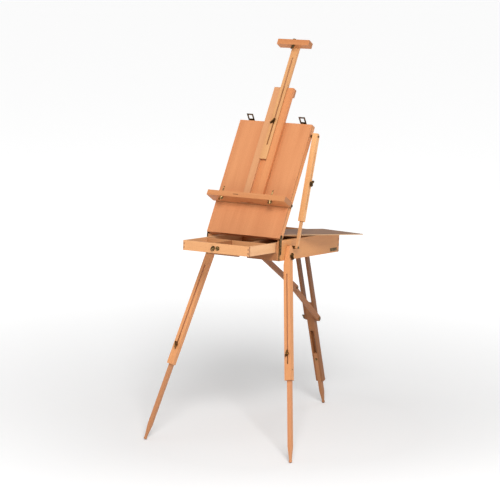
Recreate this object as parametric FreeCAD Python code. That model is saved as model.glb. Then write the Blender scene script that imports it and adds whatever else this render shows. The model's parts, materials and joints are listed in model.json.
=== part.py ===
import FreeCAD, Part
import math
import os

# Sketch-box easel: a shallow wooden box with a drawer, a lid that tips up and carries two sliding
# masts, a telescoping side arm on the right, two front legs bolted to the box sides and a rear leg that folds
# under the box on a jointed brace.  Millimetres, +Z up, -Y towards the painter.
# Everything is drawn around the underside of the box (the box frame) and stood on the floor at the end.

# ---- driving dimensions -------------------------------------------------------------------------
BOX_W = 370.0
BOX_D = 550.0
BOX_H = 90.0
BOARD = 12.0
FLOOR_Z = 30.0                    # the rear leg folds into the hollow under this height
FLOOR_T = 4.0
BOX_TILT = 4.42                   # the box leans back by this much as it stands
STAND_HEIGHT = 802.6              # floor to the middle of the box underside
ORIGIN_SHIFT_Y = 12.5            # puts the origin under the middle of the standing easel
GAP = 0.3                         # between faces on different bodies
RUNNING = 0.06                    # radial clearance of a shaft in its hole

DRAWER_W = 331.0
DRAWER_L = 500.0
DRAWER_Z = 36.6
DRAWER_H = 43.3
DRAWER_OUT = 229.8
DRAWER_WALL = 8.0

LID_L = 550.0
LID_T = 29.0
LID_PANEL = 5.0
LID_OPEN = 62.44                  # lid turned up from lying shut on the box
HINGE_IN = 12.0                   # lid pivot behind the lid's front end
HINGE_R = 14.2                    # round on the lid's heel about the pivot

MAST_W = 100.0
MAST_T = 15.0
MAST_FROM = 147.4
MAST_TO = 715.0
GROOVE_W = 34.6
GROOVE_FLOOR = 5.0
UPPER_W = 34.0
UPPER_FROM = 360.0
UPPER_TO = 936.0
UPPER_FACE = 20.0
MAST_BOLT_U = 543.0
LEDGE_W = 395.0
LEDGE_T = 24.5
LEDGE_FRONT = 68.8
LEDGE_BACK = 2.0
CLAMP_W = 161.0
CLAMP_FROM = 911.9
CLAMP_T = 26.0
CLAMP_BACK = 16.5
CLAMP_FRONT = 53.6

ARM_IN = 197.0                    # inner face of a side arm, from the middle
ARM_W = 24.0
ARM_TOP_U = 501.8                 # arm pivot up the lid
ARM_TOP_F = -18.0                 # and behind the lid's face
ARM_FOOT_Y = -163.0
ARM_FOOT_Z = 54.0
ARM_FROM = 117.0                  # lower end of the arm above the foot pivot
ARM_TO = 513.0
STRUT = 12.0
STRUT_TO = 338.0
ARM_NUT = 289.0
ARM_SLOT = (170.0, 430.0)

LEG_Y = -213.2
LEG_Z = 20.0
LEG_OFF = 194.1                   # leg centre from the middle at the pivot
LEG_SEAT_X = 207.4                # flat milled on the leg under the pivot's wing nut
LEG_DIR = (0.208, -0.266, -1.0)
LEG_W = 32.4
LEG_T = 25.4
LEG_TOP = 46.0                    # above the pivot
LEG_END = 549.0                   # below the pivot, along the leg
LEG_SLOT = (80.0, 479.0)
LEG_NUT = 433.0
LEG_NUT_LEFT = 459.0
SHANK_W = 18.6
SHANK_T = 16.0
SHANK_FROM = 415.0
FOOT_R = 7.5
FOOT_NECK = 4.2

FORK_Y = 250.0
FORK_Z = 16.0
FORK_SLOPE = 0.3787               # rearward per unit drop
FORK_L = 377.5
BAR_W = 25.0
BAR_T = 12.0
REAR_W = 36.0
REAR_UP = 80.0
REAR_END = 335.0
REAR_GROOVE = (64.0, 312.0)
REAR_SHANK_FROM = 184.0
REAR_NUT = 215.0
BRACE_U = 388.0
BRACE_Y = -211.0
BRACE_W = 25.0
BRACE_T = 10.0
BRACE_APART = 3.6                 # room for the end screw's head between the folded halves

PALETTE_L = 465.0
PALETTE_W = 300.0
PALETTE_T = 3.6
PALETTE_ROUND = 3.0
PALETTE_CORNER = (347.8, 197.4, 100.9)
PALETTE_YAW = 24.19
PALETTE_TILT = 1.154              # end towards the painter propped up
PALETTE_LEAN = 1.58               # left side lower than the right
THUMB_R = 15.0
THUMB_IN = (62.0, 66.0)

NUT_HUB_R = 7.0
NUT_HUB_H = 8.0
NUT_WING_R = 16.0
NUT_WING_T = 2.6
NUT_BORE = 3.0
HASP_X = (-133.0, 133.0)
HASP_W = 32.0
HASP_UP = LID_L + 3.1             # hasp pin up the lid
HASP_LENGTH = 40.0
HASP_SWING = 62.0                 # loop turned from straight up the lid towards the painter
STRUT_IN = ARM_IN + 6.0
BRACE_X = REAR_W / 2 + GAP + BAR_T + 2.0
CATCH_Z = BOX_H - 12.5
EAR_W = 14.0                      # lid bracket along the box side, short of the leg's head
LEDGE_BOLT_F = 62.0
LEDGE_BOLT_RISE = 24.0

X = FreeCAD.Vector(1, 0, 0)
Y = FreeCAD.Vector(0, 1, 0)
Z = FreeCAD.Vector(0, 0, 1)
ORIGIN = FreeCAD.Vector(0, 0, 0)


# ---- shape helpers ------------------------------------------------------------------------------
def slab(x0, x1, y0, y1, z0, z1):
    return Part.makeBox(x1 - x0, y1 - y0, z1 - z0, FreeCAD.Vector(x0, y0, z0))


def rod(radius, start, end):
    a = FreeCAD.Vector(*start)
    along = FreeCAD.Vector(*end) - a
    return Part.makeCylinder(radius, along.Length, a, along)


def fused(shapes):
    whole = shapes[0]
    for shape in shapes[1:]:
        whole = whole.fuse(shape)
    return whole.removeSplitter()


def group(shapes):
    return Part.makeCompound(shapes)


def turned(shape, degrees, centre, axis=X):
    copy = shape.copy()
    copy.rotate(centre, axis, degrees)
    return copy


def mirrored(shape):
    return shape.mirror(ORIGIN, X)


def pair(shape):
    return group([shape, mirrored(shape)])


def set_on(shape, origin, x_dir, z_dir):
    """Put a shape drawn about the origin at a new origin with new x and z directions."""
    z_axis = FreeCAD.Vector(z_dir).normalize()
    x_axis = (FreeCAD.Vector(x_dir) - z_axis * FreeCAD.Vector(x_dir).dot(z_axis)).normalize()
    y_axis = z_axis.cross(x_axis)
    placed = shape.copy()
    placed.transformShape(FreeCAD.Matrix(
        x_axis.x, y_axis.x, z_axis.x, origin[0],
        x_axis.y, y_axis.y, z_axis.y, origin[1],
        x_axis.z, y_axis.z, z_axis.z, origin[2]), True)
    return placed


def bar(width, depth, start, end, round_start=False, round_end=False):
    """A bar along +Z centred on the axis; a rounded end is round in the YZ view."""
    half = depth / 2
    low = start + half if round_start else start
    high = end - half if round_end else end
    pieces = [slab(-width / 2, width / 2, -half, half, low, high)]
    if round_start:
        pieces.append(rod(half, (-width / 2, 0, low), (width / 2, 0, low)))
    if round_end:
        pieces.append(rod(half, (-width / 2, 0, high), (width / 2, 0, high)))
    return fused(pieces)


def slot(width, depth_from, depth_to, start, end):
    """A round-ended slot along +Z, cut through from one depth to another in y."""
    half = width / 2
    return fused([slab(-half, half, depth_from, depth_to, start + half, end - half),
                  rod(half, (0, depth_from, start + half), (0, depth_to, start + half)),
                  rod(half, (0, depth_from, end - half), (0, depth_to, end - half))])


def wing_nut():
    """Wing nut standing on z = 0 with its bore along z."""
    hub = Part.makeCone(NUT_HUB_R, NUT_HUB_R - 1.2, NUT_HUB_H)
    wings = []
    for side in (-1, 1):
        wing = Part.makeCylinder(NUT_HUB_R, NUT_WING_T, FreeCAD.Vector(0, -NUT_WING_T / 2, 0), Y)
        wing.translate(FreeCAD.Vector(side * (NUT_WING_R - NUT_HUB_R), 0, NUT_HUB_H + 1.0))
        root = slab(0, NUT_WING_R - NUT_HUB_R, -NUT_WING_T / 2, NUT_WING_T / 2, 2.0, NUT_HUB_H + 2.0)
        if side < 0:
            root = root.mirror(ORIGIN, X)
        wings += [wing, root]
    bore = Part.makeCylinder(NUT_BORE + RUNNING, 4 * NUT_HUB_H, FreeCAD.Vector(0, 0, -NUT_HUB_H))
    return fused([hub] + wings).cut(bore)


def hole(shape, start, end, radius=NUT_BORE + RUNNING):
    return shape.cut(rod(radius, start, end))


# ---- lid coordinates: drawn shut on the box, then tipped up about the pivot ----------------------
HALF_W = BOX_W / 2
HALF_D = BOX_D / 2
LID_HALF = HALF_W - GAP
LID_FACE_Z = BOX_H + GAP + LID_T
PIVOT = FreeCAD.Vector(0, -HALF_D + HINGE_IN, BOX_H + GAP + LID_T / 2)


def lid_point(x, u, f):
    """Point of the shut lid: u along it from the painter's end, f out of its face."""
    return (x, u - HALF_D, LID_FACE_Z + f)


def lid_slab(x0, x1, u0, u1, f0, f1):
    return slab(x0, x1, u0 - HALF_D, u1 - HALF_D, LID_FACE_Z + f0, LID_FACE_Z + f1)


def tipped(shape):
    return turned(shape, LID_OPEN, PIVOT)


nodes = {}


# ---- box ----------------------------------------------------------------------------------------
def make_box():
    inner = HALF_W - BOARD
    side = slab(inner, HALF_W, -HALF_D, HALF_D, 0, BOX_H)
    side = hole(side, (inner - 1, LEG_Y, LEG_Z), (HALF_W + 1, LEG_Y, LEG_Z), NUT_BORE)
    studded = hole(side, (inner - 1, ARM_FOOT_Y, ARM_FOOT_Z), (HALF_W + 1, ARM_FOOT_Y, ARM_FOOT_Z), NUT_BORE)
    nodes["box_sides"] = group([studded, mirrored(side)])
    back = slab(-inner, inner, HALF_D - BOARD, HALF_D, 0, BOX_H)
    fork_notch = REAR_W / 2 + BAR_T + 2
    notch = slab(-fork_notch, fork_notch, HALF_D - BOARD - 1, HALF_D + 1, -1, FORK_Z + 6)
    nodes["box_back"] = back.cut(notch)
    rail = slab(-inner, inner, -HALF_D, -HALF_D + BOARD, 0, FLOOR_Z + FLOOR_T)
    leg_notch = REAR_W / 2 + 4
    rail = rail.cut(slab(-leg_notch, leg_notch, -HALF_D - 1, -HALF_D + BOARD + 1, -1, FLOOR_Z))
    nodes["box_front_rail"] = rail
    nodes["box_floor"] = slab(-inner, inner, -HALF_D + BOARD, HALF_D - BOARD, FLOOR_Z, FLOOR_Z + FLOOR_T)
    runner_in = DRAWER_W / 2 + 1
    runner = slab(runner_in, inner, -HALF_D, HALF_D - BOARD, FLOOR_Z + FLOOR_T, BOX_H - 8)
    skid_w = 14.0
    skid_in = runner_in - skid_w
    skid = slab(skid_in, runner_in, -HALF_D + BOARD, HALF_D - BOARD, FLOOR_Z + FLOOR_T, DRAWER_Z - GAP)
    nodes["drawer_runners"] = pair(fused([runner, skid]))
    make_box_fittings(inner)


def make_box_fittings(inner):
    plate_t = 1.6
    ear = slab(HALF_W, HALF_W + plate_t, -HALF_D, -HALF_D + EAR_W, BOX_H - 62.0, PIVOT.z)
    ear = ear.fuse(rod(8.0, (HALF_W, PIVOT.y, PIVOT.z), (HALF_W + plate_t, PIVOT.y, PIVOT.z)))
    face = slab(HALF_W - 4.0, HALF_W + plate_t, -HALF_D - plate_t, -HALF_D, 1.0, BOX_H)
    bracket = fused([ear, face])
    bracket = hole(bracket, (HALF_W - 1, PIVOT.y, PIVOT.z), (HALF_W + 3, PIVOT.y, PIVOT.z))
    nodes["lid_brackets"] = pair(bracket)
    block_in = REAR_W / 2 + GAP + BAR_T + GAP
    block = slab(block_in, block_in + 12, FORK_Y - 13, FORK_Y + 13, FORK_Z - 13, FLOOR_Z)
    block = hole(block, (block_in - 1, FORK_Y, FORK_Z), (block_in + 13, FORK_Y, FORK_Z), NUT_BORE)
    reach = block_in + 12
    fork_pin = rod(NUT_BORE, (-reach, FORK_Y, FORK_Z), (reach, FORK_Y, FORK_Z))

    brace_x = BRACE_X + BRACE_T + BRACE_APART
    cleat_in = brace_x + BRACE_T + GAP
    cleat = slab(cleat_in, cleat_in + 14, BRACE_Y - 16, BRACE_Y + 16, FORK_Z - 12, FLOOR_Z)
    cleat = hole(cleat, (cleat_in - 1, BRACE_Y, FORK_Z), (cleat_in + 15, BRACE_Y, FORK_Z), NUT_BORE)
    nodes["under_blocks"] = group([block, mirrored(block), cleat])
    brace_pin = rod(NUT_BORE, (brace_x - 1.5, BRACE_Y, FORK_Z), (cleat_in + 14, BRACE_Y, FORK_Z))
    nodes["under_pins"] = group([fork_pin, brace_pin])

    stud_end = STRUT_IN - GAP
    stud = rod(NUT_BORE, (inner, ARM_FOOT_Y, ARM_FOOT_Z), (stud_end, ARM_FOOT_Y, ARM_FOOT_Z))
    collar = rod(6.5, (HALF_W, ARM_FOOT_Y, ARM_FOOT_Z), (stud_end, ARM_FOOT_Y, ARM_FOOT_Z))
    nodes["arm_stud"] = fused([stud, collar])

    catches = []
    for x in HASP_X:
        plate = slab(x - 15, x + 15, HALF_D, HALF_D + 1.6, BOX_H - 30, BOX_H - 5)
        hook = rod(3.5, (x - 7, HALF_D + 5.2, CATCH_Z), (x + 7, HALF_D + 5.2, CATCH_Z))
        stem = slab(x - 7, x + 7, HALF_D + 1.0, HALF_D + 5.2, CATCH_Z - 3.5, CATCH_Z)
        catches.append(fused([plate, stem, hook]))
    nodes["latch_catches"] = group(catches)
    nodes["blank_plate"] = slab(HALF_W, HALF_W + 0.8, 190, 254, 7, 21)


# ---- drawer -------------------------------------------------------------------------------------
def make_drawer():
    front = -HALF_D - DRAWER_OUT
    half = DRAWER_W / 2
    top = DRAWER_Z + DRAWER_H
    wall = DRAWER_WALL
    bottom_t = 3.0
    nodes["drawer_front"] = slab(-half, half, front, front + wall + 2, DRAWER_Z, top)
    side = slab(half - wall, half, front + wall + 2, front + DRAWER_L - wall, DRAWER_Z, top)
    nodes["drawer_sides"] = pair(side)
    nodes["drawer_back"] = slab(-half, half, front + DRAWER_L - wall, front + DRAWER_L, DRAWER_Z, top)
    nodes["drawer_bottom"] = slab(-half + wall, half - wall, front + wall + 2, front + DRAWER_L - wall,
                                  DRAWER_Z, DRAWER_Z + bottom_t)
    inner = half - wall
    floor = DRAWER_Z + bottom_t
    board = 5.0
    low_top = top - 3.0
    long_x = -34.0
    cross_y = front + 185.0
    right_x = 62.0
    nodes["drawer_dividers"] = group([
        slab(long_x, long_x + board, front + wall + 2, cross_y, floor, low_top),
        slab(-inner, inner, cross_y, cross_y + board, floor, low_top),
        slab(right_x, right_x + board, cross_y + board, front + DRAWER_L - wall, floor, low_top)])

    catch_z = DRAWER_Z + DRAWER_H * 0.5
    catch_x = -2.0
    plates = []
    for dx in (-11.0, 11.0):
        x = catch_x + dx
        plate = rod(9.5, (x, front - 1.6, catch_z), (x, front, catch_z))
        boss = rod(5.0, (x, front - 5.0, catch_z), (x, front - 1.6, catch_z))
        plates.append(fused([plate, boss]))
    ring_x = catch_x - 11.0
    ring_y = front - 7.4
    ring_r = 7.5
    eye_z = catch_z + 2.9
    eye_r = 1.6
    eye = slab(ring_x - 1.2, ring_x + 1.2, ring_y - 2.4, front - 4.0, eye_z - 2.4, eye_z + 2.4)
    eye = hole(eye, (ring_x - 2, ring_y, eye_z), (ring_x + 2, ring_y, eye_z), eye_r + RUNNING)
    plates[0] = plates[0].fuse(eye)
    nodes["drawer_catch_plates"] = group(plates)
    ring = Part.makeTorus(ring_r, eye_r - 0.1, FreeCAD.Vector(ring_x, ring_y, eye_z - ring_r), Y)
    pin = rod(eye_r, (ring_x - 2.4, ring_y, eye_z), (ring_x + 2.4, ring_y, eye_z))
    nodes["drawer_ring"] = ring.fuse(pin)


# ---- lid ----------------------------------------------------------------------------------------
def make_lid():
    rail_top = -LID_PANEL
    nodes["lid_panel"] = tipped(lid_slab(-LID_HALF, LID_HALF, 0, LID_L, rail_top, 0))
    side = lid_slab(LID_HALF - BOARD, LID_HALF, 0, LID_L, -LID_T, rail_top)
    groove = lid_slab(LID_HALF - 2.5, LID_HALF + 1, -1, LID_L + 1, rail_top - 2.5, rail_top)
    side = side.cut(groove)
    side = side.cut(heel_corner())
    pin_hole = lid_point(HALF_W, HINGE_IN, -LID_T / 2)
    past_side = HALF_W + 1
    side = hole(side, (HALF_W - 8, pin_hole[1], pin_hole[2]), (past_side, pin_hole[1], pin_hole[2]), NUT_BORE)
    arm_hole = lid_point(0, ARM_TOP_U, ARM_TOP_F)
    side = hole(side, (HALF_W - BOARD - 1, arm_hole[1], arm_hole[2]), (past_side, arm_hole[1], arm_hole[2]),
                NUT_BORE)
    nodes["lid_sides"] = pair(tipped(side))
    inner = LID_HALF - BOARD
    nodes["lid_bottom_rail"] = tipped(lid_slab(-inner, inner, 0, BOARD, -LID_T, rail_top).cut(heel_corner()))
    top_rail = lid_slab(-inner, inner, LID_L - BOARD, LID_L, -LID_T, rail_top)
    bolt_at = lid_point(0, MAST_BOLT_U, 0)
    bolt_low = (0, bolt_at[1], bolt_at[2] - LID_T - 1)
    top_rail = hole(top_rail, bolt_low, (0, bolt_at[1], bolt_at[2] + 1), NUT_BORE)
    head_r = 8.0
    head_t = 2.5
    back_z = bolt_at[2] - LID_T
    counterbore = rod(head_r + GAP, (0, bolt_at[1], back_z - 1), (0, bolt_at[1], back_z + head_t + GAP))
    top_rail = top_rail.cut(counterbore)
    nodes["lid_top_rail"] = tipped(top_rail)
    panel_hole = rod(NUT_BORE, (0, bolt_at[1], bolt_at[2] - LID_T), (0, bolt_at[1], bolt_at[2] + 1))
    nodes["lid_panel"] = nodes["lid_panel"].cut(tipped(panel_hole))

    pin = rod(NUT_BORE, (HALF_W - 8, pin_hole[1], pin_hole[2]), (HALF_W + 1.6, pin_hole[1], pin_hole[2]))
    cap = rod(5.0, (HALF_W + 1.9, pin_hole[1], pin_hole[2]), (HALF_W + 3.4, pin_hole[1], pin_hole[2]))
    neck = rod(NUT_BORE, (HALF_W + 1.6, pin_hole[1], pin_hole[2]), (HALF_W + 1.9, pin_hole[1], pin_hole[2]))
    nodes["lid_pivot_pins"] = pair(tipped(fused([pin, neck, cap])))

    stud = rod(NUT_BORE, (inner, arm_hole[1], arm_hole[2]), (ARM_IN - GAP, arm_hole[1], arm_hole[2]))
    collar = rod(6.0, (LID_HALF, arm_hole[1], arm_hole[2]), (ARM_IN - GAP, arm_hole[1], arm_hole[2]))
    head_x = ARM_IN + ARM_W + GAP
    tail = rod(NUT_BORE, (ARM_IN - GAP, arm_hole[1], arm_hole[2]), (head_x, arm_hole[1], arm_hole[2]))
    head = rod(5.0, (head_x, arm_hole[1], arm_hole[2]), (head_x + 2.0, arm_hole[1], arm_hole[2]))
    stub = rod(NUT_BORE, (inner, arm_hole[1], arm_hole[2]), (LID_HALF, arm_hole[1], arm_hole[2]))
    cap = rod(5.0, (LID_HALF, arm_hole[1], arm_hole[2]), (LID_HALF + 3.5, arm_hole[1], arm_hole[2]))
    spare = mirrored(tipped(fused([stub, cap])))
    nodes["arm_bolts"] = group([tipped(fused([stud, collar, tail, head])), spare])

    shank = rod(NUT_BORE, (0, bolt_at[1], back_z + GAP), (0, bolt_at[1], bolt_at[2] + UPPER_FACE + 14))
    tail_head = rod(head_r, (0, bolt_at[1], back_z + GAP), (0, bolt_at[1], back_z + GAP + head_t))
    nut = set_on(turned(wing_nut(), 52, ORIGIN, Z), (0, bolt_at[1], bolt_at[2] + UPPER_FACE + GAP), X, Z)
    nodes["mast_clamp"] = group([tipped(fused([shank, tail_head])), tipped(nut)])
    hinges = []
    for x in HASP_X:
        plate = lid_slab(x - 14, x + 14, LID_L, LID_L + 1.4, -24, -8)
        pin_y, pin_z = lid_point(x, HASP_UP + 1.6, -16)[1:]
        for start_x in (x - 14.0, x + 8.0):
            end_x = start_x + 6.0
            knuckle = rod(3.0, (start_x, pin_y, pin_z), (end_x, pin_y, pin_z))
            foot = lid_slab(start_x, end_x, LID_L + 1.0, HASP_UP + 1.6, -19, -13)
            plate = plate.fuse(knuckle).fuse(foot)
        plate = plate.fuse(rod(1.6, (x - 14, pin_y, pin_z), (x + 14, pin_y, pin_z)))
        hinges.append(tipped(plate.removeSplitter()))
    nodes["hasp_hinges"] = group(hinges)
    for name, x in zip(("hasp_left", "hasp_right"), HASP_X):
        nodes[name] = tipped(hasp(x))


def heel_corner():
    """What the lid's heel loses so that it can turn about the pivot above the box."""
    width = BOX_W + 10
    corner = slab(-width / 2, width / 2, PIVOT.y - 2 * HINGE_R, PIVOT.y, PIVOT.z - 2 * HINGE_R, PIVOT.z)
    return corner.cut(rod(HINGE_R, (-width / 2, PIVOT.y, PIVOT.z), (width / 2, PIVOT.y, PIVOT.z)))


def hasp(x):
    """Flat rectangular loop on the lid's end, turned out towards the painter."""
    thick = 2.0
    half = HASP_W / 2
    knuckle_at = lid_point(x, HASP_UP + 1.6, -16)
    start = knuckle_at[1]
    loop = slab(x - half, x + half, start + 4, start + HASP_LENGTH, knuckle_at[2] - thick / 2,
                knuckle_at[2] + thick / 2)
    window = slab(x - half + 7, x + half - 7, start + 13, start + HASP_LENGTH - 7, knuckle_at[2] - 9,
                  knuckle_at[2] + 9)
    loop = loop.cut(window)
    barrel = rod(3.0, (x - 7.5, knuckle_at[1], knuckle_at[2]), (x + 7.5, knuckle_at[1], knuckle_at[2]))
    tongue = slab(x - 7.5, x + 7.5, start, start + 6, knuckle_at[2] - thick / 2, knuckle_at[2] + thick / 2)
    whole = fused([loop, tongue, barrel])
    whole = whole.cut(rod(1.6 + RUNNING, (x - 20, knuckle_at[1], knuckle_at[2]),
                          (x + 20, knuckle_at[1], knuckle_at[2])))
    return turned(whole, HASP_SWING, FreeCAD.Vector(*knuckle_at))


# ---- masts, ledge and top clamp -----------------------------------------------------------------
def make_masts():
    face = 1.0 + MAST_T
    mast = lid_slab(-MAST_W / 2, MAST_W / 2, MAST_FROM, MAST_TO, 1.0, face)
    mast = mast.cut(lid_slab(-GROOVE_W / 2, GROOVE_W / 2, MAST_FROM - 1, MAST_TO + 1, GROOVE_FLOOR, face + 1))
    slot_half = NUT_BORE + 0.5
    mast = mast.cut(lid_slab(-slot_half, slot_half, 415, 680, 0, GROOVE_FLOOR + 1))
    nodes["lower_mast"] = tipped(mast)
    nodes["mast_stop_block"] = tipped(lid_slab(-MAST_W / 2, MAST_W / 2, 677, MAST_TO, -12, 1.0))

    ledge_top = MAST_FROM + LEDGE_T
    half = LEDGE_W / 2
    ledge = lid_slab(-half, half, MAST_FROM, ledge_top, LEDGE_BACK, LEDGE_FRONT)
    ledge = ledge.cut(lid_slab(-MAST_W / 2, MAST_W / 2, MAST_FROM - 1, ledge_top + 1, LEDGE_BACK - 1, face))
    clear = UPPER_W / 2 + GAP
    ledge = ledge.cut(lid_slab(-clear, clear, MAST_FROM - 1, ledge_top + 1, face - 1, UPPER_FACE + 0.6))
    ledge = ledge.cut(lid_slab(-64, -39, MAST_FROM + 11.5, MAST_FROM + 14.5, LEDGE_FRONT - 4, LEDGE_FRONT + 1))
    bolt_f = LEDGE_BOLT_F
    bolts = []
    for x in (-124.0, 124.0):
        foot = lid_point(x, MAST_FROM - 14, bolt_f)
        top = lid_point(x, ledge_top + LEDGE_BOLT_RISE, bolt_f)
        ledge = hole(ledge, (x, foot[1] - 1, foot[2]), (x, top[1], top[2]), NUT_BORE)
        bolts.append(rod(NUT_BORE, (x, foot[1], foot[2]), (x, top[1], top[2])))
        place = lid_point(x, MAST_FROM - GAP, bolt_f)
        bolts.append(set_on(turned(wing_nut(), 25, ORIGIN, Z), place, X, -Y))
    nodes["ledge"] = tipped(ledge)
    nodes["ledge_bolts"] = tipped(group(bolts))

    guide_in = HALF_W + GAP + 0.7
    guides = []
    guide = lid_slab(guide_in, guide_in + 4, MAST_FROM + 3, ledge_top - 3, -17, LEDGE_BACK)
    knob_at = lid_point(guide_in + 4, MAST_FROM + LEDGE_T / 2, -9)
    knob = rod(6.5, knob_at, (knob_at[0] + 6, knob_at[1], knob_at[2]))
    guides.append(tipped(fused([guide, knob])))
    guides.append(mirrored(guides[0]))
    nodes["ledge_guides"] = group(guides)

    upper = lid_slab(-UPPER_W / 2, UPPER_W / 2, UPPER_FROM, UPPER_TO, GROOVE_FLOOR + GAP, UPPER_FACE)
    upper_slot = fused([lid_slab(-3.5, 3.5, 432.5, 860.5, 0, UPPER_FACE + 5)] + [
        rod(3.5, lid_point(0, u, 0), lid_point(0, u, UPPER_FACE + 5)) for u in (432.5, 860.5)])
    nodes["upper_mast"] = tipped(upper.cut(upper_slot))

    clamp = lid_slab(-CLAMP_W / 2, CLAMP_W / 2, CLAMP_FROM, CLAMP_FROM + CLAMP_T, CLAMP_BACK, CLAMP_FRONT)
    notch_to = CLAMP_FROM + CLAMP_T + 1
    clamp = clamp.cut(lid_slab(-UPPER_W / 2, UPPER_W / 2, CLAMP_FROM - 1, notch_to, 0, UPPER_FACE))
    clamp_f = 46.0
    foot = lid_point(0, CLAMP_FROM - 14, clamp_f)
    top = lid_point(0, CLAMP_FROM + CLAMP_T, clamp_f)
    clamp = hole(clamp, (0, foot[1], foot[2]), (0, top[1] + 1, top[2]), NUT_BORE)
    nodes["top_clamp"] = tipped(clamp)
    shank = rod(NUT_BORE, foot, top)
    head = rod(8.0, top, (0, top[1] + 4.0, top[2]))
    nut = set_on(turned(wing_nut(), 35, ORIGIN, Z), lid_point(0, CLAMP_FROM - GAP, clamp_f), X, -Y)
    nodes["clamp_bolt"] = group([tipped(fused([shank, head])), tipped(nut)])


# ---- side arms ----------------------------------------------------------------------------------
def box_point(u, f):
    """Point (y, z) of the open lid in the box frame."""
    shut = FreeCAD.Vector(*lid_point(0, u, f))
    return FreeCAD.Rotation(X, LID_OPEN).multVec(shut - PIVOT) + PIVOT


ARM_TOP = box_point(ARM_TOP_U, ARM_TOP_F)
ARM_UP = FreeCAD.Vector(0, ARM_TOP.y - ARM_FOOT_Y, ARM_TOP.z - ARM_FOOT_Z)
ARM_LENGTH = ARM_UP.Length
STRUT_X = STRUT_IN + STRUT / 2


def make_arms():
    foot = (STRUT_X, ARM_FOOT_Y, ARM_FOOT_Z)
    in_x = ARM_IN - STRUT_X
    out_x = in_x + ARM_W
    half = ARM_W / 2
    body = slab(in_x, out_x, -half, half, ARM_FROM, ARM_TO)
    groove_half = STRUT / 2 + GAP
    body = body.cut(slab(in_x - 1, STRUT / 2 + GAP, -groove_half, groove_half, ARM_FROM - 1, ARM_SLOT[1] + 20))
    slot_cut = slot(NUT_BORE * 2 + 0.6, 0, ARM_W, *ARM_SLOT)
    slot_cut = turned(slot_cut, -90, ORIGIN, Z)
    body = body.cut(slot_cut)
    body = body.cut(rod(NUT_BORE + RUNNING, (in_x - 1, 0, ARM_LENGTH), (out_x + 1, 0, ARM_LENGTH)))
    corner = slab(in_x - 1, out_x + 1, half - 6, half + 6, ARM_TO - 6, ARM_TO + 6)
    corner = turned(corner, 45, FreeCAD.Vector(0, half, ARM_TO))
    body = body.cut(corner)
    nodes["side_arm"] = set_on(body, foot, X, ARM_UP)

    strut = slab(-STRUT / 2, STRUT / 2, -STRUT / 2, STRUT / 2, 0, STRUT_TO)
    strut = strut.fuse(rod(STRUT / 2, (-STRUT / 2, 0, 0), (STRUT / 2, 0, 0)))
    strut = strut.cut(rod(NUT_BORE, (-STRUT / 2 - 1, 0, ARM_NUT), (STRUT / 2 + 1, 0, ARM_NUT)))
    strut = strut.cut(rod(NUT_BORE, (-1, 0, 0), (STRUT / 2 + 1, 0, 0)))
    nodes["side_strut"] = set_on(strut.removeSplitter(), foot, X, ARM_UP)
    end_screw = fused([rod(NUT_BORE, (-1, 0, 0), (STRUT / 2, 0, 0)),
                       rod(5.5, (STRUT / 2, 0, 0), (STRUT / 2 + 1.8, 0, 0))])
    stud = rod(NUT_BORE, (-STRUT / 2, 0, ARM_NUT), (out_x + 13, 0, ARM_NUT))
    nut = set_on(turned(wing_nut(), 70, ORIGIN, Z), (out_x + GAP, 0, ARM_NUT), Y, X)
    nodes["strut_bolts"] = set_on(group([end_screw, stud, nut]), foot, X, ARM_UP)


# ---- front legs ---------------------------------------------------------------------------------
LEG_DOWN = FreeCAD.Vector(*LEG_DIR).normalize()
STAND_TURN = FreeCAD.Rotation(X, -BOX_TILT)


def reach_to_floor(start, down):
    """Distance along a shank from a point on its centreline to the centre of its ball foot."""
    height = STAND_TURN.multVec(start).z + STAND_HEIGHT - FOOT_R
    return height / -STAND_TURN.multVec(down).z


def foot_shank(width, depth, start, foot_at, taper):
    """Square shank from start, tapering to a neck above a ball foot centred at foot_at."""
    taper_from = foot_at - taper
    neck_at = foot_at - FOOT_R * 0.6
    shank = slab(-width / 2, width / 2, -depth / 2, depth / 2, start, taper_from)
    top_wire = Part.makePolygon([FreeCAD.Vector(sx * width / 2, sy * depth / 2, taper_from)
                                 for sx, sy in ((1, 1), (-1, 1), (-1, -1), (1, -1), (1, 1))])
    end_wire = Part.makePolygon([FreeCAD.Vector(sx * FOOT_NECK, sy * FOOT_NECK, neck_at)
                                 for sx, sy in ((1, 1), (-1, 1), (-1, -1), (1, -1), (1, 1))])
    point = Part.makeLoft([top_wire, end_wire], True)
    ball = Part.makeSphere(FOOT_R, FreeCAD.Vector(0, 0, foot_at))
    return fused([shank, point, ball])


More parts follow.
